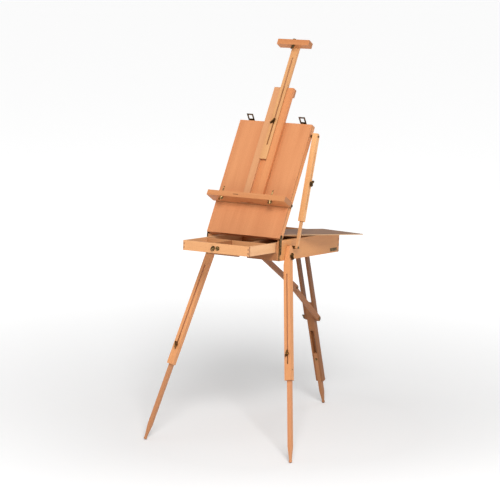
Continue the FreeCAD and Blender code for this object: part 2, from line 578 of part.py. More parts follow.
def make_front_legs():
    pivot = FreeCAD.Vector(LEG_OFF, LEG_Y, LEG_Z)
    front_dir = -Y - LEG_DOWN * (-Y).dot(LEG_DOWN)
    out_dir = LEG_DOWN.cross(front_dir)
    if out_dir.x < 0:
        out_dir = -out_dir

    def on_leg(shape):
        return set_on(shape, pivot, out_dir, LEG_DOWN)

    toward_front = -1 if FreeCAD.Vector(LEG_DOWN.cross(out_dir)).y > 0 else 1
    body = bar(LEG_W, LEG_T, -LEG_TOP, LEG_END, round_start=True)
    wall = LEG_T - SHANK_T - GAP
    front_in = LEG_T / 2 - wall
    back = -LEG_T / 2 - 1
    groove_half = SHANK_W / 2 + GAP
    groove_low, groove_high = sorted((toward_front * front_in, toward_front * back))
    body = body.cut(slab(-groove_half, groove_half, groove_low, groove_high, 60, LEG_END + 1))
    slot_low, slot_high = sorted((0, toward_front * (LEG_T / 2 + 1)))
    body = body.cut(slot(NUT_BORE * 2 + 0.6, slot_low, slot_high, *LEG_SLOT))
    leg = on_leg(body)
    inside = slab(0, HALF_W + GAP, -900, 900, -900, 900)
    leg = leg.cut(inside)
    leg = hole(leg, (HALF_W - 1, LEG_Y, LEG_Z), (HALF_W + 60, LEG_Y, LEG_Z))
    leg = leg.cut(rod(NUT_WING_R + 1, (LEG_SEAT_X, LEG_Y, LEG_Z), (LEG_SEAT_X + 30, LEG_Y, LEG_Z)))
    nodes["front_leg_right"] = leg

    nodes["front_leg_left"] = mirrored(leg)

    shank_y = toward_front * (front_in - GAP - SHANK_T / 2)
    foot_at = reach_to_floor(pivot + LEG_DOWN.cross(out_dir).normalize() * shank_y, LEG_DOWN)
    shank = foot_shank(SHANK_W, SHANK_T, SHANK_FROM, foot_at, 62)
    shank.translate(FreeCAD.Vector(0, shank_y, 0))
    nut_face = LEG_T / 2 + GAP
    shank_back = toward_front * (front_in - GAP - SHANK_T)
    bolt_end = toward_front * (nut_face + 14)
    clamps = []
    for nut_at in (LEG_NUT, LEG_NUT_LEFT):
        drilled = shank.cut(rod(NUT_BORE, (0, -40, nut_at), (0, 40, nut_at)))
        clamp = rod(NUT_BORE, (0, shank_back, nut_at), (0, bolt_end, nut_at))
        nut = turned(wing_nut(), 70, ORIGIN, Z)
        nut = set_on(nut, (0, toward_front * nut_face, nut_at), X, Y * toward_front)
        clamps.append((on_leg(drilled), on_leg(group([clamp, nut]))))
    nodes["front_foot_right"], nodes["foot_clamp_right"] = clamps[0]
    nodes["front_foot_left"] = mirrored(clamps[1][0])
    nodes["foot_clamp_left"] = mirrored(clamps[1][1])

    pivot_bolt = fused([
        rod(NUT_BORE, (HALF_W - BOARD, LEG_Y, LEG_Z), (LEG_SEAT_X + 14, LEG_Y, LEG_Z)),
        rod(7.0, (HALF_W - BOARD - 2, LEG_Y, LEG_Z), (HALF_W - BOARD, LEG_Y, LEG_Z))])
    pivot_nut = set_on(turned(wing_nut(), 100, ORIGIN, Z), (LEG_SEAT_X + GAP, LEG_Y, LEG_Z), Y, X)
    nodes["leg_bolts"] = group([pivot_bolt, pivot_nut, mirrored(pivot_bolt), mirrored(pivot_nut)])


# ---- rear leg and brace -------------------------------------------------------------------------
FORK_DOWN = FreeCAD.Vector(0, FORK_SLOPE, -1).normalize()
FORK_TOP = FreeCAD.Vector(0, FORK_Y, FORK_Z)
FORK_BOLT = FORK_TOP + FORK_DOWN * FORK_L
BRACE_TOP = FreeCAD.Vector(0, BRACE_Y, FORK_Z)
BRACE_L = BRACE_U - (FORK_Y - BRACE_Y - FORK_L)     # both halves lie flat when the leg is folded


def knee_point():
    """Where the two brace halves meet, above the straight line between their far ends."""
    line = FORK_BOLT - BRACE_TOP
    reach = line.Length
    along = (BRACE_U ** 2 + reach ** 2 - BRACE_L ** 2) / (2 * reach)
    rise = math.sqrt(BRACE_U ** 2 - along ** 2)
    unit = FreeCAD.Vector(line).normalize()
    normal = FreeCAD.Vector(0, -unit.z, unit.y)
    return BRACE_TOP + unit * along + normal * rise


KNEE = knee_point()


def make_rear_leg():
    def on_leg(shape, origin):
        return set_on(shape, origin, X, FORK_DOWN)

    bar_x = REAR_W / 2 + GAP + BAR_T / 2
    side = bar(BAR_T, BAR_W, -BAR_W / 2, FORK_L + BAR_W / 2, True, True)
    side.translate(FreeCAD.Vector(bar_x, 0, 0))
    side = side.cut(rod(NUT_BORE + RUNNING, (0, 0, 0), (60, 0, 0)))
    side = side.cut(rod(NUT_BORE, (0, 0, FORK_L), (60, 0, FORK_L)))
    nodes["fork_bars"] = pair(on_leg(side, FORK_TOP))
    bar_out = bar_x + BAR_T / 2
    bolt_body = rod(NUT_BORE, (-bar_out - 14, 0, 0), (bar_out + 0.8, 0, 0))
    nut = set_on(turned(wing_nut(), 65, ORIGIN, Z), (-bar_out - GAP, 0, 0), Y, -X)
    nodes["fork_bolt"] = on_leg(group([bolt_body, nut]), FORK_BOLT)

    front = 1 if FORK_DOWN.cross(X).y < 0 else -1
    leg = bar(REAR_W, BAR_W, -REAR_UP, REAR_END, round_start=True)
    groove_half = SHANK_W / 2 + GAP
    wall = BAR_W - SHANK_T - GAP
    inside = front * (-BAR_W / 2 + wall)
    low, high = sorted((inside, front * (BAR_W / 2 + 1)))
    leg = leg.cut(slab(-groove_half, groove_half, low, high, REAR_GROOVE[0], REAR_END + 1))
    leg = leg.cut(rod(NUT_BORE + RUNNING, (-REAR_W, 0, 0), (REAR_W, 0, 0)))
    leg = leg.cut(slot(NUT_BORE * 2 + 0.6, *sorted((front * (-BAR_W / 2 - 1), 0)), 90, 318))
    corner = slab(-REAR_W, REAR_W, -6, 6, -6, 6)
    for side_y in (-1, 1):
        cut = turned(corner, 45, ORIGIN)
        cut.translate(FreeCAD.Vector(0, side_y * (BAR_W / 2 + 2.5), REAR_END + 2.5))
        leg = leg.cut(cut)
    nodes["rear_leg"] = on_leg(leg, FORK_BOLT)

    shank_y = inside + front * (GAP + SHANK_T / 2)
    foot_at = reach_to_floor(FORK_BOLT + FORK_DOWN.cross(X).normalize() * shank_y, FORK_DOWN)
    shank = foot_shank(SHANK_W, SHANK_T, REAR_SHANK_FROM, foot_at, 55)
    shank.translate(FreeCAD.Vector(0, shank_y, 0))
    shank = shank.cut(rod(NUT_BORE, (0, -40, REAR_NUT), (0, 40, REAR_NUT)))
    nodes["rear_foot"] = on_leg(shank, FORK_BOLT)
    shank_face = shank_y + front * SHANK_T / 2
    back_face = -front * (BAR_W / 2 + GAP)
    clamp = fused([rod(NUT_BORE, (0, shank_face, REAR_NUT), (0, back_face - front * 14, REAR_NUT)),
                   rod(6.0, (0, shank_face, REAR_NUT), (0, shank_face + front * 1.2, REAR_NUT))])
    nut = set_on(turned(wing_nut(), 70, ORIGIN, Z), (0, back_face, REAR_NUT), X, Y * -front)
    nodes["rear_foot_clamp"] = on_leg(group([clamp, nut]), FORK_BOLT)


def make_brace():
    def half_brace(inner_x, start, end, length, fit):
        piece = bar(BRACE_T, BRACE_W, -BRACE_W / 2, length + BRACE_W / 2, True, True)
        piece = piece.cut(rod(NUT_BORE + fit, (-20, 0, 0), (20, 0, 0)))
        piece = piece.cut(rod(NUT_BORE + fit, (-20, 0, length), (20, 0, length)))
        return set_on(piece, (inner_x + BRACE_T / 2, start.y, start.z), X, end - start)

    lower_x = BRACE_X
    upper_x = lower_x + BRACE_T + BRACE_APART
    nodes["brace_upper"] = half_brace(upper_x, BRACE_TOP, KNEE, BRACE_U, RUNNING)
    nodes["brace_lower"] = half_brace(lower_x, KNEE, FORK_BOLT, BRACE_L, 0)
    knee_pin = rod(NUT_BORE, (lower_x, KNEE.y, KNEE.z), (upper_x + BRACE_T + GAP, KNEE.y, KNEE.z))
    head_x = upper_x + BRACE_T + GAP
    knee_head = rod(5.5, (head_x, KNEE.y, KNEE.z), (head_x + 2, KNEE.y, KNEE.z))
    knee_spacer = rod(5.5, (lower_x + BRACE_T, KNEE.y, KNEE.z), (upper_x - GAP, KNEE.y, KNEE.z))
    end_pin = rod(NUT_BORE, (lower_x, FORK_BOLT.y, FORK_BOLT.z), (lower_x + BRACE_T, FORK_BOLT.y, FORK_BOLT.z))
    end_head = rod(6.5, (lower_x + BRACE_T, FORK_BOLT.y, FORK_BOLT.z),
                   (lower_x + BRACE_T + 3, FORK_BOLT.y, FORK_BOLT.z))
    nodes["brace_pins"] = group([fused([knee_pin, knee_spacer, knee_head]), fused([end_pin, end_head])])


# ---- palette ------------------------------------------------------------------------------------
def make_palette():
    board = slab(-PALETTE_W, 0, -PALETTE_L, 0, -PALETTE_T, 0)
    edges = [e for e in board.Edges if abs(e.Length - PALETTE_T) < 0.01]
    board = board.makeFillet(PALETTE_ROUND, edges)
    thumb_at = FreeCAD.Vector(-PALETTE_W + THUMB_IN[0], -PALETTE_L + THUMB_IN[1], -2 * PALETTE_T)
    thumb = Part.makeCylinder(THUMB_R, 3 * PALETTE_T, thumb_at, Z)
    board = board.cut(thumb)
    board.rotate(ORIGIN, X, -PALETTE_TILT)
    board.rotate(ORIGIN, Y, -PALETTE_LEAN)
    board.rotate(ORIGIN, Z, -PALETTE_YAW)
    board.translate(FreeCAD.Vector(*PALETTE_CORNER))
    nodes["palette"] = board


# ---- stand it on the floor and write every node --------------------------------------------------
def stood(shape):
    placed = shape.copy()
    placed.rotate(ORIGIN, X, -BOX_TILT)
    placed.translate(FreeCAD.Vector(0, ORIGIN_SHIFT_Y, STAND_HEIGHT))
    return placed


for make in (make_box, make_drawer, make_lid, make_masts, make_arms, make_front_legs,
             make_rear_leg, make_brace, make_palette):
    make()

os.makedirs("parts", exist_ok=True)
for name, shape in nodes.items():
    stood(shape).exportStep("parts/" + name + ".step")
whole_box = FreeCAD.BoundBox()
for shape in nodes.values():
    whole_box.add(stood(shape).BoundBox)
print(len(nodes), "nodes, box", [round(v, 1) for v in (whole_box.XMin, whole_box.XMax, whole_box.YMin,
                                                       whole_box.YMax, whole_box.ZMin, whole_box.ZMax)])
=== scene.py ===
import json
import math

import bmesh
import bpy
from mathutils import Matrix, Vector


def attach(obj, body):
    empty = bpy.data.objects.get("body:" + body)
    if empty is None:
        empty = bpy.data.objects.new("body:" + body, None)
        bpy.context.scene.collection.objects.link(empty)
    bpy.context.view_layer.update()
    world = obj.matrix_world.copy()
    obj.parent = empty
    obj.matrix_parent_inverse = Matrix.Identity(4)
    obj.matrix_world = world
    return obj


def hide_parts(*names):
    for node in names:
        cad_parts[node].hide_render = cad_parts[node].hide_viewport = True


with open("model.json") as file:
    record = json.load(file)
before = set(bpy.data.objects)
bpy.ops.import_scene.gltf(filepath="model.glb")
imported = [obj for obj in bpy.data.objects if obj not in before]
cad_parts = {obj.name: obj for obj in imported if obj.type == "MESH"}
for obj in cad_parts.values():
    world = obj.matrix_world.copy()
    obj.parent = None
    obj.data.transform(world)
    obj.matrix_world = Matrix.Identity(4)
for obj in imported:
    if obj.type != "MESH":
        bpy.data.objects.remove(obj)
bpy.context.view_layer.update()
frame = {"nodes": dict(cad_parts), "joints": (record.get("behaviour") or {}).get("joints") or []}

# ---- The room ----------------------------------------------------------------------------------
# A wide pale floor that glows faintly further out, so that it runs away into a white room; one large
# soft lamp high on the right, weaker ones on the left and behind, and a long lens nine metres away.
GLOW_FROM, GLOW_FULL = 0.7, 4.0         # metres from the middle of the floor
ROOM_LIGHT, ROOM_WHITE = 0.44, 1.05     # the room as it lights the easel, and as it is seen
CAMERA_PLACE = (4.6203, -8.0232, 2.4977)
CAMERA_LOOK = (-0.5002, 0.8473, -0.1787)
LAMP_TARGET = (0, 0, 0.9)


def node_at(tree, kind, values=None, **settings):
    """A node with its settings made and its unlinked inputs filled in."""
    node = tree.nodes.new(kind)
    for key, value in settings.items():
        setattr(node, key, value)
    for socket, value in (values or {}).items():
        node.inputs[socket].default_value = value
    return node


bpy.ops.mesh.primitive_plane_add(size=60)
floor = bpy.context.object
floor.name = "floor"
floor_paint = bpy.data.materials.new("floor_paint")
floor_paint.use_nodes = True
floor_tree = floor_paint.node_tree
floor_bsdf = floor_tree.nodes["Principled BSDF"]
floor_bsdf.inputs["Base Color"].default_value = (0.93, 0.93, 0.93, 1)
floor_bsdf.inputs["Roughness"].default_value = 0.9
floor_bsdf.inputs["Emission Color"].default_value = (1, 1, 1, 1)
floor_at = node_at(floor_tree, "ShaderNodeTexCoord")
floor_far = node_at(floor_tree, "ShaderNodeVectorMath", operation="LENGTH")
floor_glow = node_at(floor_tree, "ShaderNodeMapRange",
                     {"From Min": GLOW_FROM, "From Max": GLOW_FULL, "To Max": 0.55})
floor_tree.links.new(floor_at.outputs["Object"], floor_far.inputs[0])
floor_tree.links.new(floor_far.outputs["Value"], floor_glow.inputs["Value"])
floor_tree.links.new(floor_glow.outputs["Result"], floor_bsdf.inputs["Emission Strength"])
floor.data.materials.append(floor_paint)

room = bpy.data.worlds.new("room")
room.use_nodes = True
sky = room.node_tree.nodes["Background"]
sky.inputs["Color"].default_value = (1, 1, 1, 1)
seen = node_at(room.node_tree, "ShaderNodeLightPath")
brightness = node_at(room.node_tree, "ShaderNodeMapRange", {"To Min": ROOM_LIGHT, "To Max": ROOM_WHITE})
room.node_tree.links.new(seen.outputs["Is Camera Ray"], brightness.inputs["Value"])
room.node_tree.links.new(brightness.outputs["Result"], sky.inputs["Strength"])
bpy.context.scene.world = room
bpy.context.scene.view_settings.view_transform = "Standard"


def soft_lamp(name, place, size, power):
    """A square lamp that faces the middle of the easel."""
    lamp = bpy.data.objects.new(name, bpy.data.lights.new(name, "AREA"))
    lamp.data.shape = "SQUARE"
    lamp.data.size = size
    lamp.data.energy = power
    lamp.location = place
    lamp.rotation_euler = (Vector(LAMP_TARGET) - Vector(place)).to_track_quat("-Z", "Y").to_euler()
    bpy.context.collection.objects.link(lamp)


soft_lamp("key_lamp", (3.0, -4.2, 4.6), 2.2, 285)
soft_lamp("fill_lamp", (-4.5, -3.5, 3.2), 3.5, 55)
soft_lamp("back_lamp", (1.5, 5.0, 4.0), 3.0, 35)

camera = bpy.data.objects.new("camera", bpy.data.cameras.new("camera"))
camera.data.lens = 150.66
camera.data.sensor_width = 36.0
camera.location = CAMERA_PLACE
camera.rotation_euler = Vector(CAMERA_LOOK).to_track_quat("-Z", "Y").to_euler()
bpy.context.collection.objects.link(camera)
bpy.context.scene.camera = camera

# ---- The box ------------------------------------------------------------------------------------
# Four beech boards finger-jointed at the corners, with a thin panel let in as the floor above the
# hollow that the rear leg folds into.  Glued, sanded flush and rubbed with a thin satin varnish.
joint = {j["name"]: j for j in frame["joints"]}
TO_RIGHT = Vector((1, 0, 0))
BOX_BACK = -Vector(joint["drawer_slide"]["axis"])
BOX_UP = TO_RIGHT.cross(BOX_BACK)
BOX_TURN = Matrix((TO_RIGHT, BOX_BACK, BOX_UP)).transposed()
LID_PIVOT = Vector((0, -0.263, 0.1048))         # from the middle of the box's underside
box_middle = Vector(joint["lid_hinge"]["pos_m"]) - BOX_TURN @ LID_PIVOT
ON_BOX = Matrix.Translation(box_middle) @ BOX_TURN.to_4x4()    # x right, y back, z up from the underside
BOX_HALF_WIDTH, BOX_HALF_DEPTH, BOARD = 0.185, 0.275, 0.012
FINGER_DEPTH = 0.0118                   # a finger stops just short of the board it fills
LOWEST_FINGER, BACK_PITCH, BACK_FINGER = 0.00643, 0.02571, 0.0124
RAIL_LOWEST, RAIL_PITCH, RAIL_FINGER = 0.0065, 0.0185, 0.0092
BEECH_PALE = (0.74, 0.395, 0.18, 1)
BEECH_MID = (0.65, 0.315, 0.135, 1)
BEECH_DEEP = (0.50, 0.215, 0.085, 1)
BEECH_END = (0.36, 0.15, 0.062, 1)
BEECH_CREVICE_SHADE = (0.075, 0.028, 0.010, 1)     # painted shade for narrow cuts and inner corners


def turned_coordinates(tree, along, across, stretch):
    """Object coordinates turned so that Z runs with the grain, then squeezed along it."""
    z_axis = Vector(along).normalized()
    y_axis = z_axis.cross(Vector(across)).normalized()
    x_axis = y_axis.cross(z_axis)
    turn = Matrix((x_axis, y_axis, z_axis)).transposed()
    where = node_at(tree, "ShaderNodeTexCoord")
    board = node_at(tree, "ShaderNodeMapping", {"Rotation": turn.to_euler()}, vector_type="TEXTURE")
    tree.links.new(where.outputs["Object"], board.inputs["Vector"])
    squeezed = node_at(tree, "ShaderNodeMapping", {"Scale": stretch})
    tree.links.new(board.outputs["Vector"], squeezed.inputs["Vector"])
    return where, board, squeezed


def ramp(tree, stops):
    node = node_at(tree, "ShaderNodeValToRGB")
    band = node.color_ramp
    while len(band.elements) < len(stops):
        band.elements.new(0.5)
    for element, (place, colour) in zip(band.elements, stops):
        element.position = place
        element.color = colour
    return node


def beech(name, along, across=None, tone=1.0, tint=(1, 1, 1), roughness=0.42):
    """Beech with the grain running along a direction; tone and tint set one board apart from another, and on
    some boards darken it as painted shade.
    """
    along = Vector(along).normalized()
    if across is None:
        across = (1, 0, 0) if abs(along.x) < 0.7 else (0, 1, 0)
    paint = bpy.data.materials.new(name)
    paint.use_nodes = True
    tree = paint.node_tree
    link = tree.links.new
    bsdf = tree.nodes["Principled BSDF"]
    where, board, bands = turned_coordinates(tree, along, across, (22.0, 22.0, 1.3))
    rings = node_at(tree, "ShaderNodeTexNoise",
                    {"Scale": 1.0, "Detail": 3.0, "Distortion": 0.6}, noise_dimensions="3D")
    link(bands.outputs["Vector"], rings.inputs["Vector"])

    fibre_map = node_at(tree, "ShaderNodeMapping", {"Scale": (520.0, 520.0, 9.0)})
    link(board.outputs["Vector"], fibre_map.inputs["Vector"])
    fibres = node_at(tree, "ShaderNodeTexNoise", {"Scale": 1.0, "Detail": 2.0})
    link(fibre_map.outputs["Vector"], fibres.inputs["Vector"])

    fleck_map = node_at(tree, "ShaderNodeMapping", {"Scale": (1500.0, 1500.0, 330.0)})
    link(board.outputs["Vector"], fleck_map.inputs["Vector"])
    flecks = node_at(tree, "ShaderNodeTexNoise", {"Scale": 1.0, "Detail": 0.0})
    link(fleck_map.outputs["Vector"], flecks.inputs["Vector"])
    fleck_cut = node_at(tree, "ShaderNodeMapRange", {"From Min": 0.62, "From Max": 0.72}, clamp=True)
    link(flecks.outputs["Fac"], fleck_cut.inputs["Value"])

    shade = [tuple(channel * tone * tinge for channel, tinge in zip(colour[:3], tint)) + (1,) for colour in
             (BEECH_DEEP, BEECH_MID, BEECH_PALE)]
    colour = ramp(tree, ((0.18, shade[0]), (0.45, shade[1]), (0.78, shade[2])))
    mixed = node_at(tree, "ShaderNodeMath", {1: 0.28}, operation="MULTIPLY_ADD")
    link(fibres.outputs["Fac"], mixed.inputs[0])
    lowered = node_at(tree, "ShaderNodeMath", {1: 0.62, 2: 0.10}, operation="MULTIPLY_ADD")
    link(rings.outputs["Fac"], lowered.inputs[0])
    link(lowered.outputs["Value"], mixed.inputs[2])
    link(mixed.outputs["Value"], colour.inputs["Fac"])

    flecked = node_at(tree, "ShaderNodeMix",
                      {7: (0.66, 0.52, 0.42, 1)}, data_type="RGBA", blend_type="MULTIPLY")
    fleck_weight = node_at(tree, "ShaderNodeMath", {1: 0.5}, operation="MULTIPLY")
    link(fleck_cut.outputs["Result"], fleck_weight.inputs[0])
    link(fleck_weight.outputs["Value"], flecked.inputs["Factor"])
    link(colour.outputs["Color"], flecked.inputs[6])

    facing = node_at(tree, "ShaderNodeVectorMath", {1: along}, operation="DOT_PRODUCT")
    link(where.outputs["Normal"], facing.inputs[0])
    size = node_at(tree, "ShaderNodeMath", operation="ABSOLUTE")
    link(facing.outputs["Value"], size.inputs[0])
    end_cut = node_at(tree, "ShaderNodeMapRange",
                      {"From Min": 0.80, "From Max": 0.97, "To Max": 0.75}, clamp=True)
    link(size.outputs["Value"], end_cut.inputs["Value"])
    sawn = node_at(tree, "ShaderNodeMix", {7: BEECH_END}, data_type="RGBA")
    link(end_cut.outputs["Result"], sawn.inputs["Factor"])
    link(flecked.outputs[2], sawn.inputs[6])

    # Painted shade: ambient occlusion darkens the colour towards dark brown in narrow cuts, slots and inner
    # corners.
    corner = node_at(tree, "ShaderNodeAmbientOcclusion", {"Distance": 0.009}, samples=6)
    unshaded = node_at(tree, "ShaderNodeMapRange",
                    {"From Min": 0.12, "From Max": 0.62, "To Min": 0.22},
                    clamp=True, interpolation_type="SMOOTHSTEP")
    link(corner.outputs["AO"], unshaded.inputs["Value"])
    crevice_shaded = node_at(tree, "ShaderNodeMix", {6: BEECH_CREVICE_SHADE}, data_type="RGBA")
    link(unshaded.outputs["Result"], crevice_shaded.inputs["Factor"])
    link(sawn.outputs[2], crevice_shaded.inputs[7])
    link(crevice_shaded.outputs[2], bsdf.inputs["Base Color"])

    shine = node_at(tree, "ShaderNodeMapRange", {"To Min": roughness - 0.06, "To Max": roughness + 0.14})
    link(fibres.outputs["Fac"], shine.inputs["Value"])
    link(shine.outputs["Result"], bsdf.inputs["Roughness"])
    bump = node_at(tree, "ShaderNodeBump", {"Strength": 0.12, "Distance": 0.0004})
    link(fibres.outputs["Fac"], bump.inputs["Height"])
    link(bump.outputs["Normal"], bsdf.inputs["Normal"])
    bsdf.inputs["Specular IOR Level"].default_value = 0.26
    bsdf.inputs["Coat Weight"].default_value = 0.07
    bsdf.inputs["Coat Roughness"].default_value = 0.35
    return paint


def eased(cad_node, body, paint, name, width=0.0008, angle=32):
    """The same piece with its sharp edges eased as sandpaper leaves them."""
    mesh = frame["nodes"][cad_node].data.copy()
    piece = bpy.data.objects.new(name, mesh)
    bpy.context.collection.objects.link(piece)
    shape = bmesh.new()
    shape.from_mesh(mesh)
    bmesh.ops.remove_doubles(shape, verts=shape.verts, dist=1e-6)
    bmesh.ops.dissolve_limit(shape, angle_limit=math.radians(0.5), verts=shape.verts, edges=shape.edges)
    shape.to_mesh(mesh)
    shape.free()
    mesh.materials.clear()
    mesh.materials.append(paint)
    easing = piece.modifiers.new("eased", "BEVEL")
    easing.width = width
    easing.segments = 2
    easing.limit_method = "ANGLE"
    easing.angle_limit = math.radians(angle)
    easing.use_clamp_overlap = True
    easing.miter_outer = "MITER_ARC"
    for face in mesh.polygons:
        face.use_smooth = True
    mesh.set_sharp_from_angle(angle=math.radians(30))
    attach(piece, body)
    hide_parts(cad_node)
    return piece


def inputs_of(tree, sockets):
    """Named inputs for a set of geometry nodes, and the node that gives their values."""
    ids = {}
    for label, kind in sockets:
        ids[label] = tree.interface.new_socket(name=label, in_out="INPUT", socket_type=kind).identifier
    tree.interface.new_socket(name="Geometry", in_out="OUTPUT", socket_type="NodeSocketGeometry")
    return ids, tree.nodes.new("NodeGroupInput"), tree.nodes.new("NodeGroupOutput")


def finish_tree(tree, instances, given, result):
    """Realise the instances and paint them."""
    whole = node_at(tree, "GeometryNodeRealizeInstances")
    painted = node_at(tree, "GeometryNodeSetMaterial")
    tree.links.new(instances.outputs["Instances"], whole.inputs["Geometry"])
    tree.links.new(whole.outputs["Geometry"], painted.inputs["Geometry"])
    tree.links.new(given.outputs["Material"], painted.inputs["Material"])
    tree.links.new(painted.outputs["Geometry"], result.inputs["Geometry"])


def finger_tree():
    """A row of joint fingers: blocks of one size set out in equal steps, each a hair different."""
    tree = bpy.data.node_groups.new("finger_row", "GeometryNodeTree")
    ids, given, result = inputs_of(tree, (("Start", "NodeSocketVector"), ("Step", "NodeSocketVector"),
                                          ("Size", "NodeSocketVector"), ("Count", "NodeSocketInt"),
                                          ("Seed", "NodeSocketInt"), ("Material", "NodeSocketMaterial")))
    line = node_at(tree, "GeometryNodeMeshLine", mode="OFFSET")
    tree.links.new(given.outputs["Count"], line.inputs["Count"])
    tree.links.new(given.outputs["Start"], line.inputs["Start Location"])
    tree.links.new(given.outputs["Step"], line.inputs["Offset"])
    block = node_at(tree, "GeometryNodeMeshCube")
    tree.links.new(given.outputs["Size"], block.inputs["Size"])
    vary = node_at(tree, "FunctionNodeRandomValue",
                   {0: (0.97, 0.97, 0.97), 1: (1.0, 1.0, 1.0)}, data_type="FLOAT_VECTOR")
    tree.links.new(given.outputs["Seed"], vary.inputs["Seed"])
    placed = node_at(tree, "GeometryNodeInstanceOnPoints")
    tree.links.new(line.outputs["Mesh"], placed.inputs["Points"])
    tree.links.new(block.outputs["Mesh"], placed.inputs["Instance"])
    tree.links.new(vary.outputs[0], placed.inputs["Scale"])
    finish_tree(tree, placed, given, result)
    return tree, ids


def baked(name, tree, values, points, place, body):
    """Run a set of geometry nodes once, set the result in its place and let it ride on a body."""
    start = bpy.data.meshes.new(name + "_start")
    start.from_pydata(points, [], [])
    maker = bpy.data.objects.new(name + "_maker", start)
    bpy.context.collection.objects.link(maker)
    nodes = maker.modifiers.new("repeat", "NODES")
    nodes.node_group = tree
    for identifier, value in values.items():
        nodes[identifier] = value
    bpy.context.view_layer.update()
    mesh = bpy.data.meshes.new_from_object(maker.evaluated_get(bpy.context.evaluated_depsgraph_get()))
    bpy.data.objects.remove(maker)
    mesh.transform(place)
    piece = bpy.data.objects.new(name, mesh)
    bpy.context.collection.objects.link(piece)
    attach(piece, body)
    return piece


FINGER_ROW, FINGER_IN = finger_tree()
PROUD = 0.00016                         # end grain stands this far out of the face it shows in


def fingers(name, body, paint, start, step, size, count, place):
    """The ends of one board's fingers, showing in the face of the board they are let into."""
    values = {FINGER_IN["Start"]: start, FINGER_IN["Step"]: step, FINGER_IN["Size"]: size,
              FINGER_IN["Count"]: count, FINGER_IN["Seed"]: 7, FINGER_IN["Material"]: paint}
    return baked(name, FINGER_ROW, values, [(0, 0, 0)], place, body)


side_paint = beech("side_board_beech", BOX_BACK, BOX_UP, tint=(1.0, 0.9, 0.74))
back_paint = beech("back_board_beech", TO_RIGHT, tone=0.9)
end_paint = beech("finger_end_beech", TO_RIGHT, BOX_UP, tone=0.82)
eased("box_sides", "box", side_paint, "side_boards")
eased("box_back", "box", back_paint, "back_board")
# The front rail's low tone is painted shade from the drawer above it.
eased("box_front_rail", "box",
      beech("front_rail_beech", TO_RIGHT, tone=0.5, tint=(1, 0.82, 0.7)), "front_rail")
# The floor panel and the hinge blocks under the box are toned darker as painted shade.
eased("box_floor", "box",
      beech("floor_panel_beech", BOX_BACK, TO_RIGHT, tone=0.72), "floor_panel", 0.0004)
eased("drawer_runners", "box", beech("runner_beech", BOX_BACK, TO_RIGHT, tone=0.95), "runners")
eased("under_blocks", "box", beech("block_beech", BOX_BACK, TO_RIGHT, tone=0.55), "hinge_blocks")
corner_y = BOX_HALF_DEPTH - BOARD / 2
for side, x in (("left", -BOX_HALF_WIDTH), ("right", BOX_HALF_WIDTH)):
    fingers("side_fingers_back_" + side, "box", end_paint, (x, corner_y, LOWEST_FINGER), (0, 0, BACK_PITCH),
            (2 * PROUD, FINGER_DEPTH, BACK_FINGER), 4, ON_BOX)
    fingers("side_fingers_front_" + side, "box", end_paint, (x, -corner_y, RAIL_LOWEST), (0, 0, RAIL_PITCH),
            (2 * PROUD, FINGER_DEPTH, RAIL_FINGER), 2, ON_BOX)
    inward = math.copysign(BOARD / 2, -x)
    fingers("back_fingers_" + side, "box", back_paint, (x + inward, BOX_HALF_DEPTH, LOWEST_FINGER),
            (0, 0, BACK_PITCH), (FINGER_DEPTH, 2 * PROUD, BACK_FINGER), 4, ON_BOX)

# ---- The box fittings ---------------------------------------------------------------------------
# Pressed and turned brass with a dark bronze finish, rubbed brighter in patches: lid brackets,
# pivot bolts with wing nuts, the arm stud, hasp catches and a small blank plate, all screwed on.
SCREW_SINK = 0.0003
BRACKET_FACE, BRACKET_Y = 0.1866, -0.268
BRACKET_SCREW_Z = (0.036, 0.058, 0.080)
CATCH_FACE, CATCH_Z, CATCH_SCREW = 0.2766, 0.065, 0.010
HASP_X = 0.133                          # the two hasps, from the middle of the lid
PLATE_FACE, PLATE_PIN_Y, PLATE_PIN_Z = 0.1858, (0.194, 0.250), 0.014


def bronze(name, tone=1.0, roughness=0.38):
    """Dark bronzed brass: brown-black in some patches, warmer and smoother in others, as where hands rub it.
    """
    paint = bpy.data.materials.new(name)
    paint.use_nodes = True
    tree = paint.node_tree
    bsdf = tree.nodes["Principled BSDF"]
    where = node_at(tree, "ShaderNodeTexCoord")
    cloud = node_at(tree, "ShaderNodeTexNoise", {"Scale": 140.0, "Detail": 4.0})
    tree.links.new(where.outputs["Object"], cloud.inputs["Vector"])
    grit = node_at(tree, "ShaderNodeTexNoise", {"Scale": 1900.0})
    tree.links.new(where.outputs["Object"], grit.inputs["Vector"])
    shade = [tuple(channel * tone for channel in colour) + (1,) for colour in
             ((0.050, 0.030, 0.014), (0.120, 0.074, 0.030), (0.36, 0.235, 0.085))]
    colour = ramp(tree, ((0.30, shade[0]), (0.52, shade[1]), (0.74, shade[2])))
    tree.links.new(cloud.outputs["Fac"], colour.inputs["Fac"])
    tree.links.new(colour.outputs["Color"], bsdf.inputs["Base Color"])
    rub = node_at(tree, "ShaderNodeMapRange", {"To Min": roughness + 0.18, "To Max": roughness - 0.08})
    tree.links.new(cloud.outputs["Fac"], rub.inputs["Value"])
    tree.links.new(rub.outputs["Result"], bsdf.inputs["Roughness"])
    bump = node_at(tree, "ShaderNodeBump", {"Strength": 0.18, "Distance": 0.0002})
    tree.links.new(grit.outputs["Fac"], bump.inputs["Height"])
    tree.links.new(bump.outputs["Normal"], bsdf.inputs["Normal"])
    bsdf.inputs["Metallic"].default_value = 1.0
    return paint


